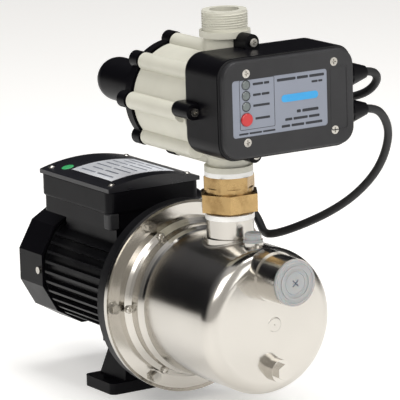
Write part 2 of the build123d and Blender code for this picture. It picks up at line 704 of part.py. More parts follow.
def rear_cover_screws():
    screws = []
    x1 = DRUM_X0 - 2.5
    for i in range(LOBE_COUNT):
        y, z = around_x(LOBE_CIRCLE_R + 1.5, i * 45, DRUM_Y, DRUM_Z)
        head = rod_x(3.6, x1 - 15.5, x1 - 13, y, z)
        screws.append(head + rod_x(2.0, x1 - 13, x1 + 20, y, z))
    return screws


def pressure_spring():
    """Turns of the spring that loads the diaphragm, drawn as closed rings."""
    turns = []
    for i in range(12):
        x = DRUM_X0 - 12 - i * 7.2
        turns.append(Pos(x, DRUM_Y, DRUM_Z) * Rot(0, 90, 0) * Torus(14.0, 1.5))
    return turns


def valve_poppet():
    body = rod_z(13.2, VALVE_SEAT_Z + 0.1, VALVE_SEAT_Z + 4, OUTLET_X)
    body += rod_z(10.9, VALVE_SEAT_Z - 5, VALVE_SEAT_Z + 0.1, OUTLET_X)
    return body + rod_z(2.5, VALVE_SEAT_Z + 4, VALVE_SEAT_Z + 40, OUTLET_X)


def valve_guide():
    z0 = VALVE_SEAT_Z + 34
    body = tube_z(14.0, 11.5, z0, z0 + 5, OUTLET_X)
    for i in range(3):
        arm = Pos(OUTLET_X, 0, z0 + 2.5) * Rot(0, 0, i * 120) * Pos(7.5, 0, 0) * Box(9, 2, 5)
        body += arm
    body += rod_z(4.5, z0, z0 + 5, OUTLET_X)
    return body - rod_z(2.56, z0 - 1, z0 + 6, OUTLET_X)


def valve_spring():
    turns = []
    for i in range(6):
        turns.append(Pos(OUTLET_X, 0, VALVE_SEAT_Z + 6 + i * 5.2) * Torus(6.5, 0.7))
    return turns


def control_box(flow_body):
    body = rounded_box_x(BOX_X0, BOX_X1, BOX_Y0, BOX_Y1, BOX_Z0, BOX_Z1, BOX_CORNER)
    body = fillet(body.faces().sort_by(Axis.X)[0].outer_wire().edges(), 5)
    inner = rounded_box_x(
        BOX_X0 + 3, BOX_X1 + 1, BOX_Y0 + 3, BOX_Y1 - 3, BOX_Z0 + 3, BOX_Z1 - 3, BOX_CORNER - 3
    )
    body -= inner
    for y, z, turn in box_lug_places():
        lug = rod_x(7.5, BOX_LUG_X, BOX_LUG_X + 26, y, z)
        bridge = Pos(BOX_LUG_X + 13, y, z) * Rot(turn, 0, 0) * Pos(0, -6, 0) * Box(26, 12, 15)
        body += lug + bridge - inner
    for y, z, turn in box_lug_places():
        body -= rod_x(2.1, BOX_LUG_X - 1, BOX_LUG_X + 27, y, z)
    for y, z in panel_screw_places():
        body += rod_x(5.0, BOX_X0 + 1, BOX_X1, y, z)
        body -= rod_x(1.9, BOX_X1 - 16, BOX_X1 + 1, y, z)
    for z in (LEAD_GLAND_Z, CABLE_GLAND_Z):
        body -= rod_y(6.0, BOX_Y1 - 4, BOX_Y1 + 1, GLAND_X, z)
    return body - flow_body


def box_lug_places():
    """Centre of each lug and the turn that points its bridge back at the box."""
    mid_z = (BOX_Z0 + BOX_Z1) / 2 - 4
    return [
        (4.0, BOX_Z1 + 6, 90),
        (BOX_Y0 - 5, mid_z, 180),
        (4.0, BOX_Z0 - 5, -90),
        (BOX_Y1 + 5, mid_z, 0),
    ]


def box_lug_screws():
    screws = []
    for y, z, turn in box_lug_places():
        screws.append(screw_x(4.0, 3.0, 1.95, BOX_LUG_X + 26, 13, y, z))
    return screws


def panel_screw_places():
    places = []
    for y in (BOX_Y0 + 27, BOX_Y1 - 24.5):
        for z in (BOX_Z0 + 17, BOX_Z1 - 14):
            places.append((y, z))
    return places


def panel_gasket():
    outer = rounded_box_x(BOX_X1, PANEL_X, BOX_Y0 + 0.8, BOX_Y1 - 0.8, BOX_Z0 + 0.8, BOX_Z1 - 0.8, BOX_CORNER - 1)
    inner = rounded_box_x(BOX_X1 - 1, PANEL_X + 1, BOX_Y0 + 3, BOX_Y1 - 3, BOX_Z0 + 3, BOX_Z1 - 3, BOX_CORNER - 3)
    body = outer - inner
    for y, z in panel_screw_places():
        body -= rod_x(5.2, BOX_X1 - 1, PANEL_X + 1, y, z)
    return body


def front_panel():
    body = rounded_box_x(PANEL_X, PANEL_FACE_X, PANEL_Y0, PANEL_Y1, PANEL_Z0, PANEL_Z1, BOX_CORNER - 2)
    body = fillet(body.faces().sort_by(Axis.X)[-1].outer_wire().edges(), 2.5)
    body -= rounded_box_x(
        PANEL_X - 1, PANEL_FACE_X - 3, PANEL_Y0 + 3, PANEL_Y1 - 3, PANEL_Z0 + 3, PANEL_Z1 - 3, BOX_CORNER - 5
    )
    body -= rounded_box_x(PANEL_FACE_X - 0.8, PANEL_FACE_X + 1, LABEL_Y0, LABEL_Y1, LABEL_Z0, LABEL_Z1, 3)
    for z in LED_Z:
        body -= rod_x(LED_R, PANEL_X - 1, PANEL_FACE_X + 1, LED_Y, z)
    body -= rod_x(BUTTON_R + BUTTON_CLEAR, PANEL_X - 1, PANEL_FACE_X + 1, LED_Y, BUTTON_Z)
    for y, z in panel_screw_places():
        body += rod_x(5.0, PANEL_X, PANEL_FACE_X - 3, y, z)
        body -= rod_x(2.0, PANEL_X - 1, PANEL_FACE_X + 1, y, z)
        body -= rod_x(4.1, PANEL_FACE_X - 2.4, PANEL_FACE_X + 1, y, z)
    return body


def panel_screws():
    screws = []
    for y, z in panel_screw_places():
        screws.append(screw_x(4.0, 2.4, 1.85, PANEL_FACE_X - 2.4, 16, y, z))
    return screws


def control_label():
    body = rounded_box_x(PANEL_FACE_X - 0.8, PANEL_FACE_X - 0.3, LABEL_Y0, LABEL_Y1, LABEL_Z0, LABEL_Z1, 3)
    for z in LED_Z:
        body -= rod_x(LED_R, PANEL_FACE_X - 2, PANEL_FACE_X + 1, LED_Y, z)
    return body - rod_x(BUTTON_R + BUTTON_CLEAR, PANEL_FACE_X - 2, PANEL_FACE_X + 1, LED_Y, BUTTON_Z)


def indicator_lenses():
    lenses = []
    for z in LED_Z:
        lens = rod_x(LED_R - 0.02, PANEL_X + 3, PANEL_FACE_X + 0.4, LED_Y, z)
        lenses.append(chamfer(lens.faces().sort_by(Axis.X)[-1].edges(), 0.6))
    return lenses


def restart_button():
    stem_x = PANEL_X + 1
    cap = rod_x(BUTTON_R, stem_x, PANEL_FACE_X + 1.8, LED_Y, BUTTON_Z)
    return chamfer(cap.faces().sort_by(Axis.X)[-1].edges(), 0.8)


def circuit_board():
    body = block(BOX_X0 + 26, BOX_X0 + 27.6, BOX_Y0 + 33, BOX_Y1 - 33, BOX_Z0 + 20, BOX_Z1 - 20)
    for i in range(3):
        body += block(BOX_X0 + 27.6, BOX_X0 + 38, -20 + i * 26, -4 + i * 26, BOX_Z0 + 30, BOX_Z0 + 48)
    return body


def board_posts():
    posts = []
    for y in (BOX_Y0 + 37, BOX_Y1 - 37):
        for z in (BOX_Z0 + 23, BOX_Z1 - 23):
            posts.append(rod_x(2.5, BOX_X0 + 3, BOX_X0 + 26, y, z))
    return posts


# ---- cords ----
MOTOR_CABLE_ROUTE = [
    (228, 115, 293), (228, 127, 292), (225, 139, 282), (218, 149, 266), (209, 152, 247),
    (198, 151, 228), (185, 145, 210), (170, 134, 193), (153, 120, 179), (135, 106, 168),
    (116, 96, 159), (97, 91, 153), (78, 96, 151), (60, 104, 155), (42, 110, 162),
    (24, 109, 170), (9, 100, 176), (1, 85, 180), (0, 70, 180),
]

MAINS_LEAD_ROUTE = [
    (228, 115, 328), (228, 124, 328), (226, 132, 321), (219, 132, 311), (209, 127, 303),
    (194, 118, 298), (173, 109, 294), (149, 104, 289), (122, 101, 282), (95, 101, 272),
    (68, 103, 258), (44, 106, 239), (24, 109, 217), (11, 113, 191), (4, 116, 163),
    (1, 119, 134), (2, 120, 106), (6, 119, 80), (9, 118, 58), (6, 117, 38),
    (-4, 117, 21), (-20, 117, 10), (-38, 117, 5),
]

MAINS_TAIL_ROUTE = [
    (PLUG_X - 1.5, COIL_Y + 36, 15.5), (PLUG_X, COIL_Y + 49, PLUG_Z), (PLUG_X, PLUG_Y, PLUG_Z),
]


def cord_tube(name, route, radius):
    """Tube along straight runs joined by the largest tangent arcs that fit."""
    points = [Vector(*p) for p in route]
    radii = []
    for before, here, after in zip(points, points[1:], points[2:]):
        turn = math.radians((here - before).get_angle(after - here))
        shorter = min((here - before).length, (after - here).length)
        radii.append(CORD_ARC * shorter / math.tan(turn / 2))
    path = FilletPolyline(*points, radius=radii)
    section = Plane(origin=path @ 0, z_dir=path % 0) * Circle(radius)
    tube = sweep(section, path=path)
    ideal = math.pi * radius ** 2 * path.length
    print(f"{name}: length {path.length:.0f}, volume/ideal {tube.volume / ideal:.4f}, smallest radius {min(radii):.0f}")
    print("   radii", [round(r) for r in radii])
    return tube


def mains_coil():
    ring = tube_z(COIL_R + COIL_BUNDLE_R, COIL_R - COIL_BUNDLE_R, 0.1, 0.1 + 2 * COIL_BUNDLE_R, COIL_X, COIL_Y)
    return ring


def mains_plug():
    sleeve = Pos(PLUG_X, PLUG_Y, PLUG_Z) * Rot(-90, 0, 0) * Cone(6, 9, 16, align=(Align.CENTER, Align.CENTER, Align.MIN))
    grip = rounded_box_x(PLUG_X - 12, PLUG_X + 12, PLUG_Y + 16, PLUG_Y + 42, PLUG_Z - 16, PLUG_Z + 16, 7)
    face = rod_y(17.0, PLUG_Y + 42, PLUG_Y + 50, PLUG_X, PLUG_Z)
    return sleeve + grip + face


def plug_pins():
    pins = []
    for dz in (-9.5, 9.5):
        pins.append(rod_y(2.4, PLUG_Y + 50, PLUG_Y + 69, PLUG_X, PLUG_Z + dz))
    return pins


# ---- write every piece ----
envelope = casing_solid()
front_inner, front_outer = bearing_races(FRONT_BEARING_X)
rear_inner, rear_outer = bearing_races(REAR_BEARING_X)

save("motor_housing", motor_housing())
save("stator_core", stator_core())
save("stator_windings", *stator_windings())
save("rotor_core", rotor_core())
save("shaft", shaft())
save("bearing_inner_rings", front_inner, rear_inner)
balls = bearing_balls(FRONT_BEARING_X) + bearing_balls(REAR_BEARING_X)
save("bearing_outer_rings", front_outer, rear_outer, *balls)
save("front_bracket", front_bracket())
save("rear_end_shield", rear_end_shield())
save("cooling_fan", fan())
save("fan_cover", fan_cover())
save("motor_screws", *fan_cover_screws(), *lid_screws())
save("foot", foot())
save("terminal_box", terminal_box())
save("terminal_lid", terminal_lid())
save("capacitor", capacitor())
save("terminal_block", terminal_block())
save("terminal_gland", gland_body_y(TBOX_GLAND_X, TBOX_GLAND_Z, TBOX_Y, TBOX_GLAND_LENGTH, 10.0))
save("pump_casing", pump_casing())
save("outlet_stub", outlet_stub(envelope))
save("suction_nozzle", suction_nozzle(envelope))
save("casing_bosses", priming_boss(envelope), drain_boss(envelope))
save("priming_plug", priming_plug())
save("drain_plug", drain_plug())
save("suction_cap", suction_cap())
save("casing_backplate", casing_backplate())
save("casing_o_ring", casing_o_ring())
save("flange_bolts", *flange_bolts(), *flange_inner_screws())
save("seal_seat", seal_seat())
save("seal_rotating_ring", seal_rotating())
save("impeller", impeller())
save("impeller_nut", impeller_nut())
save("diffuser", diffuser())
save("ejector", ejector())
save("tape_rings", tape_ring_lower(), tape_ring_upper())
save("union_tailpiece", union_tailpiece())
save("union_nut", union_nut())
save("gaskets", lid_gasket(), union_gasket(), panel_gasket())
save("union_top", union_top())
flow_body = controller_body()
save("controller_body", flow_body)
save("diaphragm", diaphragm())
save("rear_cover", rear_cover())
save("pressure_spring", *pressure_spring())
save("check_valve_poppet", valve_poppet())
save("valve_guide", valve_guide())
save("valve_spring", *valve_spring())
save("control_box", control_box(flow_body))
save("front_panel", front_panel())
save("controller_screws", *rear_cover_screws(), *box_lug_screws(), *panel_screws())
save("control_label", control_label())
save("indicator_lenses", *indicator_lenses())
save("restart_button", restart_button())
save("circuit_board", circuit_board(), *board_posts())
glands = [gland_body_y(GLAND_X, z, BOX_Y1, GLAND_LENGTH, 12.0) for z in (LEAD_GLAND_Z, CABLE_GLAND_Z)]
save("controller_glands", *glands)
save("motor_cable", cord_tube("motor_cable", MOTOR_CABLE_ROUTE, CABLE_R))
lead = cord_tube("mains_lead", MAINS_LEAD_ROUTE, LEAD_R)
tail = cord_tube("mains_tail", MAINS_TAIL_ROUTE, LEAD_R)
save("mains_lead", lead, tail)
save("mains_coil", mains_coil())
save("mains_plug", mains_plug())
save("plug_pins", *plug_pins())
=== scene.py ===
"""Looks of the shallow well jet pump: materials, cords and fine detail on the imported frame."""
import json
import math

import bpy
from mathutils import Matrix, Vector


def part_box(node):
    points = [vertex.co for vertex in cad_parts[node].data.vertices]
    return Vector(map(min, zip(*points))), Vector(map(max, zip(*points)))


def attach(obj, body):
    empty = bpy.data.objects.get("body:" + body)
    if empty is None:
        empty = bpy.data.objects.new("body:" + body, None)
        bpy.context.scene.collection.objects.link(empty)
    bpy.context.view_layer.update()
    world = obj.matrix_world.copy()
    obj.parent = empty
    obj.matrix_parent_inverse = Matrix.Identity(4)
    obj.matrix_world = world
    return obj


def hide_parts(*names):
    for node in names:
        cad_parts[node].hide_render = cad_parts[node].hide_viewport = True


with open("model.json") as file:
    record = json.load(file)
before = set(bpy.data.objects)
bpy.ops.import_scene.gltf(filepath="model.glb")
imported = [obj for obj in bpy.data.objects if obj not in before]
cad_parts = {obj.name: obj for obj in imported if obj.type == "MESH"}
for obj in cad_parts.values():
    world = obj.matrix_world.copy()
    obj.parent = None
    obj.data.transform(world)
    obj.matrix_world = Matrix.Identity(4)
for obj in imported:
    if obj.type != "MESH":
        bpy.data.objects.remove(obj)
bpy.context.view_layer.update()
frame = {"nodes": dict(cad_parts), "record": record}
NODES = frame["nodes"]
ROOT = "pump_unit"

# ---- places read from the frame, metres ----
flange_low, flange_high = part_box("pump_casing")
AXIS = Vector((flange_low.x, 0.0, (flange_low.z + flange_high.z) / 2))
THREAD_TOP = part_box("controller_body")[1].z
stub_low, stub_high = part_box("outlet_stub")
OUTLET = Vector(((stub_low.x + stub_high.x) / 2, 0.0, stub_high.z))


# ---- materials ----
def new_material(name, base, roughness, metallic=0.0, **sockets):
    """Principled material whose remaining sockets are set by name."""
    mat = bpy.data.materials.new(name)
    mat.use_nodes = True
    shader = mat.node_tree.nodes["Principled BSDF"]
    shader.inputs["Base Color"].default_value = (*base, 1.0)
    shader.inputs["Roughness"].default_value = roughness
    shader.inputs["Metallic"].default_value = metallic
    for key, value in sockets.items():
        shader.inputs[key.replace("_", " ")].default_value = value
    return mat, shader


def node(mat, kind, **settings):
    made = mat.node_tree.nodes.new(kind)
    for key, value in settings.items():
        setattr(made, key, value)
    return made


def wire(mat, source, target):
    mat.node_tree.links.new(source, target)


def noise(mat, scale, detail=4.0, stretch=(1, 1, 1), roughness=0.5):
    """Noise in object coordinates, drawn out along an axis by a stretch below 1."""
    coords = node(mat, "ShaderNodeTexCoord")
    mapping = node(mat, "ShaderNodeMapping")
    mapping.inputs["Scale"].default_value = stretch
    wire(mat, coords.outputs["Object"], mapping.inputs["Vector"])
    texture = node(mat, "ShaderNodeTexNoise")
    texture.inputs["Scale"].default_value = scale
    texture.inputs["Detail"].default_value = detail
    texture.inputs["Roughness"].default_value = roughness
    wire(mat, mapping.outputs["Vector"], texture.inputs["Vector"])
    return texture.outputs["Fac"]


def uneven_gloss(mat, shader, value, low, high):
    """Roughness between low and high as the value goes from 0 to 1."""
    ranger = node(mat, "ShaderNodeMapRange")
    ranger.inputs["To Min"].default_value = low
    ranger.inputs["To Max"].default_value = high
    wire(mat, value, ranger.inputs["Value"])
    wire(mat, ranger.outputs["Result"], shader.inputs["Roughness"])


def ramp(mat, value, stops):
    """Colour ramp from (position, rgb) stops."""
    made = node(mat, "ShaderNodeValToRGB")
    elements = made.color_ramp.elements
    while len(elements) < len(stops):
        elements.new(0.5)
    for element, (place, colour) in zip(elements, stops):
        element.position = place
        element.color = (*colour, 1.0)
    wire(mat, value, made.inputs["Fac"])
    return made.outputs["Color"]


def bump(mat, shader, value, strength, distance, chained=None):
    made = node(mat, "ShaderNodeBump")
    made.inputs["Strength"].default_value = strength
    made.inputs["Distance"].default_value = distance
    wire(mat, value, made.inputs["Height"])
    if chained is not None:
        wire(mat, chained, made.inputs["Normal"])
    wire(mat, made.outputs["Normal"], shader.inputs["Normal"])
    return made.outputs["Normal"]


def tinted(base, amount):
    return tuple(max(0.0, min(1.0, c * amount)) for c in base)


def moulded(name, base, roughness, grain=900.0, depth=0.00012, coat=0.0, vary=0.12, gleam=0.5):
    """Moulded plastic: fine spark-eroded grain, faint cloudy tone and uneven gloss."""
    mat, shader = new_material(name, base, roughness, Coat_Weight=coat, Specular_IOR_Level=gleam)
    cloud = noise(mat, 26.0, 3.0)
    tone = ramp(mat, cloud, [(0.3, tinted(base, 1 - vary)), (0.7, tinted(base, 1 + vary))])
    wire(mat, tone, shader.inputs["Base Color"])
    uneven_gloss(mat, shader, noise(mat, 55.0, 5.0), roughness - 0.07, roughness + 0.1)
    bump(mat, shader, noise(mat, grain, 3.0), 0.35, depth)
    return mat


def enamel(name, base, roughness):
    """Sprayed enamel over a casting: orange peel, dust in the hollows, worn gloss."""
    mat, shader = new_material(name, base, roughness, Specular_IOR_Level=0.18)
    peel = bump(mat, shader, noise(mat, 420.0, 2.0), 0.3, 0.0003)
    bump(mat, shader, noise(mat, 90.0, 5.0), 0.18, 0.0008, peel)
    uneven_gloss(mat, shader, noise(mat, 30.0, 6.0), roughness - 0.1, roughness + 0.15)
    dust = ramp(mat, noise(mat, 14.0, 7.0), [(0.45, base), (0.78, tuple(c + 0.012 for c in base))])
    wire(mat, dust, shader.inputs["Base Color"])
    return mat


def polished_steel(name, base=(0.56, 0.537, 0.497), roughness=0.15, lines=(260.0, 3.0, 3.0)):
    """Bright stainless sheet with fine lines from turning and faint handling marks."""
    mat, shader = new_material(name, base, roughness, 1.0)
    streaks = noise(mat, 4.0, 6.0, lines)
    smears = noise(mat, 22.0, 5.0)
    mixed = node(mat, "ShaderNodeMath", operation="MULTIPLY")
    wire(mat, streaks, mixed.inputs[0])
    wire(mat, smears, mixed.inputs[1])
    uneven_gloss(mat, shader, mixed.outputs["Value"], roughness - 0.04, roughness + 0.2)
    tone = ramp(mat, noise(mat, 9.0, 4.0), [(0.3, tinted(base, 0.93)), (0.7, tinted(base, 1.05))])
    wire(mat, tone, shader.inputs["Base Color"])
    bump(mat, shader, streaks, 0.06, 0.0002)
    return mat


def worn_metal(name, base, roughness, dark, grain=180.0, depth=0.0004):
    """Cast or plated metal: pitted grain, tarnish in patches and brighter rubbed spots."""
    mat, shader = new_material(name, base, roughness, 1.0)
    patches = noise(mat, 60.0, 6.0)
    tone = ramp(mat, patches, [(0.28, dark), (0.5, base), (0.8, tinted(base, 1.12))])
    wire(mat, tone, shader.inputs["Base Color"])
    uneven_gloss(mat, shader, noise(mat, 95.0, 5.0), roughness - 0.1, roughness + 0.16)
    bump(mat, shader, noise(mat, grain, 5.0), 0.35, depth)
    return mat


def rubbery(name, base, roughness=0.5):
    mat, shader = new_material(name, base, roughness, Specular_IOR_Level=0.3)
    bump(mat, shader, noise(mat, 700.0, 3.0), 0.3, 0.00015)
    uneven_gloss(mat, shader, noise(mat, 35.0, 5.0), roughness - 0.08, roughness + 0.14)
    tone = ramp(mat, noise(mat, 18.0, 5.0), [(0.35, base), (0.8, tinted(base, 1.7))])
    wire(mat, tone, shader.inputs["Base Color"])
    return mat


def milky(name, base):
    """Translucent polythene of the caps and plugs."""
    mat, shader = new_material(
        name, base, 0.3, Subsurface_Weight=0.35, Subsurface_Scale=0.004, Coat_Weight=0.2,
    )
    tone = ramp(mat, noise(mat, 45.0, 4.0), [(0.3, tinted(base, 0.92)), (0.75, base)])
    wire(mat, tone, shader.inputs["Base Color"])
    bump(mat, shader, noise(mat, 240.0, 4.0), 0.18, 0.0002)
    return mat


MATERIALS = {
    "black_enamel": enamel("black_enamel", (0.004, 0.004, 0.005), 0.34),
    "cast_aluminium": enamel("black_casting", (0.004, 0.004, 0.005), 0.4),
    "black_plastic": moulded("black_plastic", (0.0035, 0.0033, 0.0045), 0.31, gleam=0.09),
    "lid_plastic": moulded("lid_plastic", (0.008, 0.008, 0.011), 0.28, gleam=0.5),
    "panel_plastic": moulded("panel_plastic", (0.026, 0.026, 0.028), 0.45, gleam=0.25),
    "cream_plastic": moulded("cream_plastic", (0.60, 0.59, 0.51), 0.42, vary=0.05, gleam=0.4),
    "stainless": polished_steel("stainless"),
    "steel": worn_metal("machined_steel", (0.52, 0.52, 0.53), 0.32, (0.3, 0.3, 0.31)),
    "zinc_steel": worn_metal("zinc_steel", (0.50, 0.48, 0.44), 0.2, (0.24, 0.23, 0.21)),
    "brass": worn_metal("brass", (0.43, 0.29, 0.13), 0.25, (0.22, 0.13, 0.05)),
    "copper": worn_metal("copper", (0.62, 0.27, 0.12), 0.34, (0.35, 0.14, 0.06)),
    "rubber": rubbery("rubber", (0.012, 0.012, 0.013)),
    "white_plastic": milky("milky_plastic", (0.36, 0.37, 0.375)),
    "tape_white": moulded("tape_white", (0.88, 0.88, 0.86), 0.5, grain=400.0, depth=0.0003, vary=0.04),
    "engineering_plastic": moulded("engineering_plastic", (0.05, 0.05, 0.055), 0.45),
    "carbon": moulded("carbon", (0.03, 0.03, 0.03), 0.3),
    "red_plastic": moulded("red_plastic", (0.42, 0.018, 0.02), 0.34, coat=0.1),
    "lens_grey": moulded("lens_grey", (0.10, 0.12, 0.12), 0.2, coat=0.6),
    "label_film": moulded("label_film", (0.21, 0.23, 0.28), 0.36, grain=1500.0, depth=0.00004, vary=0.03),
    "ink": moulded("ink", (0.022, 0.024, 0.03), 0.5, grain=1500.0, depth=0.00003, vary=0.1, gleam=0.3),
    "blue_ink": moulded("blue_ink", (0.03, 0.30, 0.62), 0.45, grain=1500.0, depth=0.00003, vary=0.08),
    "green_ink": moulded("green_ink", (0.04, 0.36, 0.12), 0.4, grain=1500.0, depth=0.00003, vary=0.08),
    "foil": moulded("foil", (0.80, 0.82, 0.86), 0.3, grain=1500.0, depth=0.00004, vary=0.06),
    "weld": worn_metal("weld_bead", (0.42, 0.40, 0.37), 0.34, (0.2, 0.18, 0.16), grain=420.0),
    "board": moulded("board", (0.02, 0.14, 0.06), 0.4),
    "cable_rubber": rubbery("cable_rubber", (0.013, 0.013, 0.014), 0.42),
}

for part in frame["record"]["subparts"]:
    shown = NODES[part["node"]]
    shown.data.materials.clear()
    shown.data.materials.append(MATERIALS[part["material_slot"]])


# ---- mesh helpers ----
def piece(name, verts, faces, mat, body=ROOT, smooth=True):
    mesh = bpy.data.meshes.new(name)
    mesh.from_pydata([tuple(v) for v in verts], [], faces)
    mesh.validate()
    made = bpy.data.objects.new(name, mesh)
    bpy.context.scene.collection.objects.link(made)
    made.data.materials.append(MATERIALS[mat])
    for polygon in mesh.polygons:
        polygon.use_smooth = smooth
    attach(made, body)
    return made


def lathe(name, profile, mat, centre, axis="Z", steps=72, body=ROOT):
    """Closed ring of (radius, along) points turned about an axis through centre."""
    verts = []
    for i in range(steps):
        turn = 2 * math.pi * i / steps
        for r, along in profile:
            a = r * math.cos(turn)
            b = r * math.sin(turn)
            offset = {"Z": (a, b, along), "X": (along, a, b), "Y": (b, along, a)}[axis]
            verts.append(Vector(centre) + Vector(offset))
    count = len(profile)
    faces = []
    for i in range(steps):
        for j in range(count):
            k = (j + 1) % count
            n = (i + 1) % steps
            faces.append((i * count + j, n * count + j, n * count + k, i * count + k))
    return piece(name, verts, faces, mat, body)


def torus_profile(r, along, section, points=12):
    ring = []
    for i in range(points):
        turn = 2 * math.pi * i / points
        ring.append((r + section * math.cos(turn), along + section * math.sin(turn)))
    return ring


# ---- cords: the routes of the part, in metres ----
CABLE_DIAMETER = 0.008

MOTOR_CABLE_ROUTE = [
    (0.228, 0.115, 0.293), (0.228, 0.127, 0.292), (0.225, 0.139, 0.282), (0.218, 0.149, 0.266),
    (0.209, 0.152, 0.247), (0.198, 0.151, 0.228), (0.185, 0.145, 0.210), (0.170, 0.134, 0.193),
    (0.153, 0.120, 0.179), (0.135, 0.106, 0.168), (0.116, 0.096, 0.159), (0.097, 0.091, 0.153),
    (0.078, 0.096, 0.151), (0.060, 0.104, 0.155), (0.042, 0.110, 0.162), (0.024, 0.109, 0.170),
    (0.009, 0.100, 0.176), (0.001, 0.085, 0.180), (0.000, 0.070, 0.180),
]

MAINS_LEAD_ROUTE = [
    (0.228, 0.115, 0.328), (0.228, 0.124, 0.328), (0.226, 0.132, 0.321), (0.219, 0.132, 0.311),
    (0.209, 0.127, 0.303), (0.194, 0.118, 0.298), (0.173, 0.109, 0.294), (0.149, 0.104, 0.289),
    (0.122, 0.101, 0.282), (0.095, 0.101, 0.272), (0.068, 0.103, 0.258), (0.044, 0.106, 0.239),
    (0.024, 0.109, 0.217), (0.011, 0.113, 0.191), (0.004, 0.116, 0.163), (0.001, 0.119, 0.134),
    (0.002, 0.120, 0.106), (0.006, 0.119, 0.080), (0.009, 0.118, 0.058), (0.006, 0.117, 0.038),
    (-0.004, 0.117, 0.021), (-0.020, 0.117, 0.010), (-0.038, 0.117, 0.005),
]

COIL_CENTRE = Vector((-0.072, 0.165, 0.0))
COIL_TURNS = 3.25
COIL_STEPS = 16
INNER_LANE = 0.0438
OUTER_LANE = 0.0520
LOWER_LAYER = 0.0044
UPPER_LAYER = 0.0125

MAINS_TAIL_ROUTE = [
    (-0.1235, 0.185, 0.0125), (-0.1205, 0.201, 0.0155), (-0.119, 0.214, 0.018), (-0.119, 0.227, 0.018),
]


def eased(value, start, end):
    t = max(0.0, min(1.0, (value - start) / (end - start)))
    return t * t * (3 - 2 * t)


def coil_points():
    """Turns laid beside and on each other, wound clockwise from the side nearest the pump."""
    points = []
    for i in range(int(COIL_TURNS * COIL_STEPS) + 1):
        turn = i / COIL_STEPS
        shift_in = eased(turn, 0.8, 1.0) - eased(turn, 2.8, 3.0)
        lift = eased(turn, 1.8, 2.0)
        radius = OUTER_LANE + (INNER_LANE - OUTER_LANE) * shift_in
        height = LOWER_LAYER + (UPPER_LAYER - LOWER_LAYER) * lift
        angle = -math.pi / 2 - 2 * math.pi * turn
        points.append(COIL_CENTRE + Vector((radius * math.cos(angle), radius * math.sin(angle), height)))
    return points


def cord_curve(name, points):
    curve = bpy.data.curves.new(name, "CURVE")
    curve.dimensions = "3D"
    curve.bevel_depth = CABLE_DIAMETER / 2
    curve.bevel_resolution = 5
    curve.resolution_u = 8
    curve.use_fill_caps = True
    spline = curve.splines.new("NURBS")
    spline.points.add(len(points) - 1)
    for control, place in zip(spline.points, points):
        control.co = (*place, 1.0)
    spline.order_u = 3
    spline.use_endpoint_u = True
    made = bpy.data.objects.new(name, curve)
    bpy.context.scene.collection.objects.link(made)
    curve.materials.append(MATERIALS["cable_rubber"])
    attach(made, ROOT)
    return made


motor_cable = cord_curve("motor_cable_run", MOTOR_CABLE_ROUTE)
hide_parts("motor_cable")

mains_points = MAINS_LEAD_ROUTE + [tuple(p) for p in coil_points()] + MAINS_TAIL_ROUTE
mains_lead = cord_curve("mains_lead_run", mains_points)
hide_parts("mains_lead", "mains_coil")


# ---- pipe thread on the controller outlet ----
def pipe_thread():
    pitch = 0.0023
    root_r = 0.0207
    crest_r = 0.0217
    start_z = THREAD_TOP - 0.0182
    turns = 7
    steps = 60
    verts = []
    for i in range(turns * steps + 1):
        turn = i / steps
        grow = min(1.0, turn * 4, (turns - turn) * 4)
        angle = 2 * math.pi * turn
        z = start_z + turn * pitch
        crest = root_r + (crest_r - root_r) * grow
        for r, dz in ((root_r, 0.0), (crest, pitch * 0.38), (crest, pitch * 0.55), (root_r, pitch * 0.93)):
            verts.append((OUTLET.x + r * math.cos(angle), r * math.sin(angle), z + dz))
    faces = []
    for i in range(turns * steps):
        for j in range(4):
            k = (j + 1) % 4
            faces.append((i * 4 + j, (i + 1) * 4 + j, (i + 1) * 4 + k, i * 4 + k))
    return piece("outlet_thread", verts, faces, "cream_plastic")


pipe_thread()


# ---- thin pieces laid on a surface ----
def rounded_outline(width, height, corner, steps=5):
    """Points of a rounded rectangle round the origin, anticlockwise."""
    points = []
    for quarter, (sx, sy) in enumerate(((1, 1), (-1, 1), (-1, -1), (1, -1))):
        for i in range(steps + 1):
            angle = math.pi / 2 * (quarter + i / steps)
            x = sx * (width / 2 - corner) + corner * math.cos(angle)
            y = sy * (height / 2 - corner) + corner * math.sin(angle)
            points.append((x, y))
    return points


def slab(name, centre, across, up, size, thick, mat, corner=0.0005, hole=None):
    """Thin rounded plate with a softened edge, on a surface; a hole makes it a frame of that width."""
    across = Vector(across)
    up = Vector(up)
    out = across.cross(up)
    width, height = size
    soft = min(thick * 0.5, corner)
    rings = [(0.0, 0.0), (0.0, thick - soft), (soft, thick)]
    layers = [(rounded_outline(width - 2 * inset, height - 2 * inset, corner), lift) for inset, lift in rings]
    if hole:
        inner = rounded_outline(width - 2 * hole, height - 2 * hole, max(corner - hole, corner * 0.4))
        layers += [(inner, thick), (inner, 0.0)]
    verts = []
    for outline, lift in layers:
        for x, y in outline:
            verts.append(Vector(centre) + across * x + up * y + out * lift)
    count = len(layers[0][0])
    faces = []
    for layer in range(len(layers) - 1):
        for i in range(count):
            n = (i + 1) % count
            lower = layer * count
            faces.append((lower + i, lower + n, lower + count + n, lower + count + i))
    if not hole:
        faces.append(tuple(range(2 * count, 3 * count)))
    return piece(name, verts, faces, mat, smooth=False)


# ---- controller label: lamp captions, a frame and plain bars in place of the print ----
label_low, label_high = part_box("control_label")
LABEL_FACE = label_high.x
LABEL_MID_Y = (label_low.y + label_high.y) / 2
lens_low, lens_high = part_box("indicator_lenses")
button_low, button_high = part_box("restart_button")
LAMP_Y = (lens_low.y + lens_high.y) / 2
LENS_R = 0.004
LAMP_STEP = (lens_high.z - lens_low.z - 2 * LENS_R) / 2
LAMP_ZS = [lens_high.z - LENS_R - i * LAMP_STEP for i in range(3)]
PRINT = 0.00012


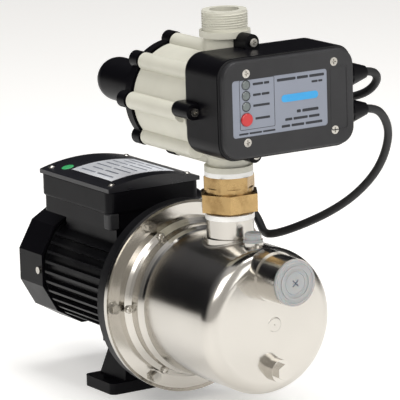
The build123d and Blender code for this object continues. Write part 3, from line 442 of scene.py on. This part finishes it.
def on_label(name, y0, y1, z0, z1, mat="ink", corner=0.0006, hole=None, thick=PRINT):
    centre = (LABEL_FACE, (y0 + y1) / 2, (z0 + z1) / 2)
    slab(name, centre, (0, 1, 0), (0, 0, 1), (y1 - y0, z1 - z0), thick, mat, corner, hole)


def printed_words(name, y0, y1, z, height, word_lengths):
    """Row of short bars with gaps, as blurred print reads from a distance."""
    total = sum(word_lengths) + 0.35 * (len(word_lengths) - 1)
    unit = (y1 - y0) / total
    y = y0
    for i, length in enumerate(word_lengths):
        on_label(f"{name}_{i}", y, y + length * unit, z - height / 2, z + height / 2, corner=height * 0.3)
        y += (length + 0.35) * unit


def label_print():
    button_z = (button_low.z + button_high.z) / 2
    on_label("lamp_frame", LAMP_Y - 0.0072, LAMP_Y + 0.031, button_z - 0.0095, LAMP_ZS[0] + 0.0050,
             corner=0.0012, hole=0.00045)
    lengths = ([4, 2], [3, 3], [5], [5])
    for i, z in enumerate(LAMP_ZS + [button_z]):
        start = LAMP_Y + (0.0075 if i < 3 else 0.0095)
        printed_words(f"caption_{i}", start, LAMP_Y + 0.0255, z, 0.0022, lengths[i])
    end = label_high.y
    top = label_high.z
    base = label_low.z
    printed_words("title", LABEL_MID_Y - 0.003, end - 0.003, top - 0.0047, 0.0026, [5, 3, 4])
    printed_words("subtitle", end - 0.017, end - 0.005, top - 0.0102, 0.0020, [3, 2])
    printed_words("grade", end - 0.034, end - 0.010, base + 0.0172, 0.0028, [1, 4])
    printed_words("rating_0", end - 0.047, end - 0.009, base + 0.0108, 0.0024, [2, 4, 3])
    printed_words("rating_1", end - 0.051, end - 0.006, base + 0.0048, 0.0024, [2, 3, 4])
    printed_words("supply", label_low.y + 0.0065, LAMP_Y + 0.0310, label_low.z + 0.0030, 0.0017, [3, 4, 4])
    on_label("plain_bar_blue", LABEL_MID_Y + 0.0015, label_high.y - 0.010, label_low.z + 0.0270,
             label_low.z + 0.0340, "blue_ink", 0.0034, thick=0.0002)


label_print()


def lamp_rims():
    """Printed ring round each lamp."""
    inner = LENS_R + 0.0001
    outer = LENS_R + 0.0007
    for i, z in enumerate(LAMP_ZS):
        profile = [(inner, 0.0), (outer, 0.0), (outer, PRINT), (inner, PRINT)]
        lathe(f"lamp_rim_{i}", profile, "ink", (LABEL_FACE, LAMP_Y, z), "X", 40)


lamp_rims()

panel_low, panel_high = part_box("front_panel")


def panel_relief():
    """Shallow raised outline at the plain end of the panel."""
    y0 = label_high.y + 0.0035
    y1 = panel_high.y - 0.0075
    centre = (panel_high.x - 0.0002, (y0 + y1) / 2, (panel_low.z + panel_high.z) / 2 - 0.001)
    size = (y1 - y0, 0.060)
    slab("panel_relief", centre, (0, 1, 0), (0, 0, 1), size, 0.0006, "panel_plastic", 0.003, 0.0009)


panel_relief()


# ---- lid label on the cambered top ----
lid_low, lid_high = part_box("terminal_lid")
LID_EDGE_Z = lid_low.z + 0.004


def lid_surface(y):
    """Height of the lid's arc across its width."""
    half = (lid_high.y - lid_low.y) / 2
    rise = lid_high.z - LID_EDGE_Z
    radius = (half * half + rise * rise) / (2 * rise)
    return lid_high.z - radius + math.sqrt(radius * radius - y * y)


def lid_strip(name, x0, x1, y0, y1, mat, thick, cuts=10):
    """Sheet that follows the camber, with its edge turned down."""
    verts = []
    for j in range(cuts + 1):
        y = y0 + (y1 - y0) * j / cuts
        z = lid_surface(y)
        for x, lift in ((x0, 0.0), (x0 + thick, thick), (x1 - thick, thick), (x1, 0.0)):
            verts.append((x, y, z + lift))
    faces = []
    for j in range(cuts):
        for i in range(3):
            a = j * 4 + i
            faces.append((a, a + 1, a + 5, a + 4))
    return piece(name, verts, faces, mat)


def lid_label():
    x0 = lid_high.x - 0.094
    x1 = lid_high.x - 0.018
    y0, y1 = -0.038, 0.034
    lid_strip("lid_label", x0, x1, y0, y1, "foil", 0.00025)
    for i in range(7):
        y = y1 - 0.009 - i * 0.0093
        inset = (0.006, 0.012, 0.006, 0.009, 0.006, 0.014, 0.008)[i]
        lid_strip(f"lid_print_{i}a", x0 + inset, x0 + 0.034, y - 0.0010, y + 0.0010, "label_film", 0.0004, 2)
        lid_strip(f"lid_print_{i}b", x0 + 0.038, x1 - inset, y - 0.0010, y + 0.0010, "label_film", 0.0004, 2)


lid_label()


def lid_sticker():
    """Small round green sticker near the rear corner of the lid."""
    centre = Vector((lid_low.x + 0.028, -0.036, 0.0))
    verts = [Vector((centre.x, centre.y, lid_surface(centre.y) + 0.0003))]
    for r, lift in ((0.0040, 0.0003), (0.0060, 0.0002), (0.0062, 0.0)):
        for i in range(32):
            angle = 2 * math.pi * i / 32
            y = centre.y + r * math.sin(angle)
            verts.append(Vector((centre.x + r * math.cos(angle), y, lid_surface(y) + lift)))
    faces = [(0, 1 + i, 1 + (i + 1) % 32) for i in range(32)]
    for ring in range(2):
        for i in range(32):
            n = (i + 1) % 32
            faces.append((1 + ring * 32 + i, 33 + ring * 32 + i, 33 + ring * 32 + n, 1 + ring * 32 + n))
    piece("lid_sticker", verts, faces, "green_ink")


lid_sticker()


# ---- terminal box: rim under the lid, corner feet, lid screw heads ----
box_low, box_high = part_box("terminal_box")
BOX_MIDDLE = (box_low + box_high) / 2
BOX_WIDTH = box_high.x - box_low.x
BOX_DEPTH = 0.100
RIM_DROP = 0.0215
SCREW_INSET = 0.007
SCREW_LINE_Y = BOX_DEPTH / 2 - SCREW_INSET


def stacked(name, centre, width, depth, corner, levels, mat, capped=False):
    """Rounded outlines stacked upward; each level is (growth, height)."""
    verts = []
    for grow, z in levels:
        for x, y in rounded_outline(width + 2 * grow, depth + 2 * grow, corner + grow, 6):
            verts.append((centre[0] + x, centre[1] + y, z))
    count = len(verts) // len(levels)
    faces = []
    for level in range(len(levels) - 1):
        for i in range(count):
            n = (i + 1) % count
            a = level * count
            faces.append((a + i, a + n, a + count + n, a + count + i))
    if capped:
        faces.append(tuple(reversed(range(count))))
        faces.append(tuple(range((len(levels) - 1) * count, len(levels) * count)))
    return piece(name, verts, faces, mat, smooth=False)


def box_rim():
    """Deep moulded rim of the box under its lid, with a softened lower edge."""
    top = lid_low.z
    levels = [
        (-0.0004, top - RIM_DROP), (0.0010, top - RIM_DROP + 0.0002), (0.0017, top - RIM_DROP + 0.0010),
        (0.0019, top - RIM_DROP + 0.0022), (0.0019, top - 0.0006), (0.0014, top - 0.0001),
    ]
    stacked("box_rim", (BOX_MIDDLE.x, 0.0), BOX_WIDTH, BOX_DEPTH, 0.006, levels, "black_plastic")


def corner_feet():
    """Rounded towers standing proud of the two lower corners nearest the pump."""
    top = lid_low.z - RIM_DROP + 0.0005
    foot_low = top - 0.0155
    for name, side in (("near", -1), ("far", 1)):
        centre = (box_high.x - 0.0040, side * (BOX_DEPTH / 2 - 0.0038))
        levels = [
            (-0.0012, foot_low), (-0.0004, foot_low + 0.0004), (0.0, foot_low + 0.0014),
            (0.0, top - 0.0012), (-0.0005, top - 0.0003), (-0.0014, top),
        ]
        stacked(f"box_corner_{name}", centre, 0.012, 0.012, 0.0028, levels, "panel_plastic", True)


def lid_screw_heads():
    for i, (x, side) in enumerate((x, side) for x in (box_low.x, box_high.x) for side in (-1, 1)):
        inward = 1 if x == box_low.x else -1
        centre = (x + inward * SCREW_INSET, side * SCREW_LINE_Y, lid_surface(SCREW_LINE_Y))
        profile = [
            (0.0001, 0.0012), (0.0018, 0.0011), (0.0030, 0.0005), (0.0036, -0.0004), (0.0036, -0.0012),
            (0.0001, -0.0012),
        ]
        lathe(f"lid_screw_head_{i}", profile, "zinc_steel", centre, "Z", 36)
        # The crossed slots are thin near-black rubber strips laid on each head: painted shade standing in for
        # the dark of recessed slots, with no recess cut.
        top = (centre[0], centre[1], centre[2] + 0.00105)
        slab(f"lid_screw_slot_shade_{i}a", top, (1, 0, 0), (0, 1, 0), (0.0042, 0.0008), 0.0003, "rubber", 0.0003)
        slab(f"lid_screw_slot_shade_{i}b", top, (1, 0, 0), (0, 1, 0), (0.0008, 0.0042), 0.0003, "rubber", 0.0003)


box_rim()
corner_feet()
lid_screw_heads()


# ---- flange screws: socket in each head and a rolled edge round it ----
BOLT_CIRCLE_R = 0.085
INNER_CIRCLE_R = 0.076
FLANGE_FACE = AXIS.x
BOLT_HEAD_TOP = 0.0060
INNER_HEAD_TOP = 0.0175


def socket_head(name, centre, head_r, socket_r):
    """Button head turned over the screw, with a shallow socket at its middle whose floor is near-black
    rubber: painted shade for the dark inside the socket.
    """
    ring = [
        (socket_r, -0.0012), (socket_r, 0.0010), (socket_r + 0.0004, 0.0013), (head_r - 0.0010, 0.0010),
        (head_r - 0.0003, 0.0003), (head_r, -0.0012),
    ]
    lathe(f"{name}_button", ring, "zinc_steel", centre, "X", 36)
    # The socket recess is real, but its floor is near-black rubber: painted shade standing in for the dark
    # inside a steel socket.
    painted_shade_well = [(0.0001, -0.0004), (socket_r + 0.0001, -0.0002), (socket_r + 0.0001, -0.0010), (0.0001, -0.0010)]
    lathe(f"{name}_socket", painted_shade_well, "rubber", centre, "X", 6)


def flange_sockets():
    for i in range(6):
        angle = math.pi / 3 * i
        out = Vector((0.0, math.cos(angle), math.sin(angle)))
        outer = AXIS + out * BOLT_CIRCLE_R
        inner = AXIS + out * INNER_CIRCLE_R
        socket_head(f"flange_bolt_{i}", (FLANGE_FACE + BOLT_HEAD_TOP, outer.y, outer.z), 0.0047, 0.0021)
        socket_head(f"inner_screw_{i}", (FLANGE_FACE + INNER_HEAD_TOP, inner.y, inner.z), 0.0037, 0.0016)


flange_sockets()


# ---- suction cap: raised rings and a moulded cross ----
cap_low, cap_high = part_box("suction_cap")
CAP_CENTRE = Vector((cap_high.x, (cap_low.y + cap_high.y) / 2, (cap_low.z + cap_high.z) / 2))
CAP_FACE = cap_high.x - 0.001


def cap_detail():
    centre = (CAP_FACE, CAP_CENTRE.y, CAP_CENTRE.z)
    for name, r, section in (("cap_ring_inner", 0.0105, 0.0005), ("cap_ring_outer", 0.0196, 0.0007)):
        lathe(name, torus_profile(r, 0.0, section), "white_plastic", centre, "X", 64, "suction_cap")
    for i, turn in enumerate((45, 135)):
        angle = math.radians(turn)
        across = (0, math.cos(angle), math.sin(angle))
        up = (0, -math.sin(angle), math.cos(angle))
        arm = slab(f"cap_cross_{i}", centre, across, up, (0.0085, 0.0011), 0.0006, "label_film", 0.0005)
        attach(arm, "suction_cap")


cap_detail()


# ---- weld bead of the outlet stub and the middle of the dome ----
def weld_ring(name, centre, axis, radius, section, fall=None, steps=120):
    """Rippled bead round a tube; fall gives how far it drops to meet a curved surface at an angle."""
    verts = []
    points = 10
    for i in range(steps):
        turn = 2 * math.pi * i / steps
        ripple = 1 + 0.10 * math.sin(turn * 46) + 0.05 * math.sin(turn * 17 + 1.0)
        drop = fall(turn) if fall else 0.0
        for j in range(points):
            side = 2 * math.pi * j / points
            r = radius + section * ripple * math.cos(side)
            along = section * ripple * math.sin(side) - drop
            a = r * math.cos(turn)
            b = r * math.sin(turn)
            offset = {"Z": (a, b, along), "X": (along, a, b)}[axis]
            verts.append(Vector(centre) + Vector(offset))
    faces = []
    for i in range(steps):
        n = (i + 1) % steps
        for j in range(points):
            k = (j + 1) % points
            faces.append((i * points + j, n * points + j, n * points + k, i * points + k))
    return piece(name, verts, faces, "weld")


CASING_R = 0.070
STUB_WELD_R = 0.0256


def stub_fall(turn):
    """Drop of the round casing under the stub's edge."""
    y = STUB_WELD_R * math.sin(turn)
    return CASING_R - math.sqrt(CASING_R ** 2 - y ** 2)


weld_ring("stub_weld", (OUTLET.x, 0, AXIS.z + CASING_R + 0.0006), "Z", STUB_WELD_R, 0.0012, stub_fall)


def dome_centre():
    """Shallow disc over the dome's pole, where two triangles of no area spoil the casing's shading."""
    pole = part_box("pump_casing")[1].x
    profile = [
        (0.0001, 0.00002), (0.0012, 0.00008), (0.0024, 0.00022), (0.0046, 0.00024), (0.0064, 0.00010),
        (0.0078, -0.00030), (0.0001, -0.0006),
    ]
    lathe("dome_centre", profile, "stainless", (pole, 0.0, AXIS.z), "X", 64)


dome_centre()


# ---- floor, lights, camera ----
def floor():
    mat, shader = new_material("studio_floor", (0.90, 0.895, 0.88), 0.6, Emission_Strength=0.34)
    shader.inputs["Emission Color"].default_value = (1.0, 0.99, 0.97, 1.0)
    tone = ramp(mat, noise(mat, 0.7, 2.0), [(0.3, (0.895, 0.89, 0.875)), (0.7, (0.905, 0.90, 0.885))])
    wire(mat, tone, shader.inputs["Base Color"])
    mesh = bpy.data.meshes.new("floor")
    half = 14.0
    corners = [(-half, -half, 0), (half, -half, 0), (half, half, 0), (-half, half, 0)]
    mesh.from_pydata(corners, [], [(0, 1, 2, 3)])
    made = bpy.data.objects.new("floor", mesh)
    made.data.materials.append(mat)
    bpy.context.scene.collection.objects.link(made)


def area_light(name, place, target, size, power, colour=(1, 1, 1)):
    light = bpy.data.lights.new(name, "AREA")
    light.shape = "RECTANGLE"
    light.size, light.size_y = size
    light.energy = power
    light.color = colour
    made = bpy.data.objects.new(name, light)
    made.location = place
    made.rotation_euler = (Vector(target) - Vector(place)).to_track_quat("-Z", "Y").to_euler()
    bpy.context.scene.collection.objects.link(made)
    return made


def studio_world():
    """White overhead and low surroundings with a dark band behind the pump, for the steel to mirror."""
    world = bpy.data.worlds.new("studio")
    world.use_nodes = True
    bpy.context.scene.world = world
    background = world.node_tree.nodes["Background"]
    coords = node(world, "ShaderNodeTexCoord")
    parts = node(world, "ShaderNodeSeparateXYZ")
    wire(world, coords.outputs["Generated"], parts.inputs["Vector"])
    height = ramp(world, parts.outputs["Z"], [
        (0.0, (0.35, 0.33, 0.30)), (0.03, (0.008, 0.008, 0.009)), (0.42, (0.025, 0.025, 0.028)),
        (0.78, (0.20, 0.20, 0.21)), (1.0, (1.0, 1.0, 1.02)),
    ])
    behind = node(world, "ShaderNodeMapRange", interpolation_type="SMOOTHSTEP")
    behind.inputs["From Min"].default_value = -0.35
    behind.inputs["From Max"].default_value = 0.45
    wire(world, parts.outputs["X"], behind.inputs["Value"])
    mix = node(world, "ShaderNodeMix", data_type="RGBA")
    wire(world, behind.outputs["Result"], mix.inputs["Factor"])
    wire(world, height, mix.inputs["A"])
    mix.inputs["B"].default_value = (0.70, 0.68, 0.65, 1.0)
    wire(world, mix.outputs["Result"], background.inputs["Color"])
    background.inputs["Strength"].default_value = 0.85


VIEW_AZIMUTH = math.radians(32.0)
VIEW_ELEVATION = math.radians(12.0)
VIEW_ROLL = -0.03
VIEW_DISTANCE = 3.42
FOCAL_RATIO = 8.87
LOOK_RIGHT = 0.0119
LOOK_UP = 0.0912


def camera():
    """Long lens on the front quarter, leaning a little, aimed above and right of the flange centre."""
    back = Vector((
        math.cos(VIEW_AZIMUTH) * math.cos(VIEW_ELEVATION),
        -math.sin(VIEW_AZIMUTH) * math.cos(VIEW_ELEVATION),
        math.sin(VIEW_ELEVATION),
    ))
    level = Vector((0, 0, 1)).cross(back).normalized()
    upright = back.cross(level)
    right = level * math.cos(VIEW_ROLL) + upright * math.sin(VIEW_ROLL)
    up = upright * math.cos(VIEW_ROLL) - level * math.sin(VIEW_ROLL)
    data = bpy.data.cameras.new("camera")
    data.sensor_width = 36.0
    data.lens = 36.0 * FOCAL_RATIO
    data.clip_end = 100.0
    made = bpy.data.objects.new("camera", data)
    place = AXIS + right * LOOK_RIGHT + up * LOOK_UP + back * VIEW_DISTANCE
    turn = Matrix((right, up, back)).transposed().to_4x4()
    made.matrix_world = Matrix.Translation(place) @ turn
    bpy.context.scene.collection.objects.link(made)
    bpy.context.scene.camera = made


floor()
area_light("key", (1.6, -1.9, 2.4), (0.1, 0, 0.2), (1.8, 1.8), 42, (1.0, 0.985, 0.96))
area_light("front_fill", (2.6, 0.9, 1.3), (0.1, 0, 0.2), (1.4, 1.8), 16)
area_light("top_strip", (0.0, 0.3, 2.3), (0.05, 0, 0.15), (2.2, 0.8), 30)
studio_world()
camera()
bpy.context.scene.view_settings.view_transform = "Standard"
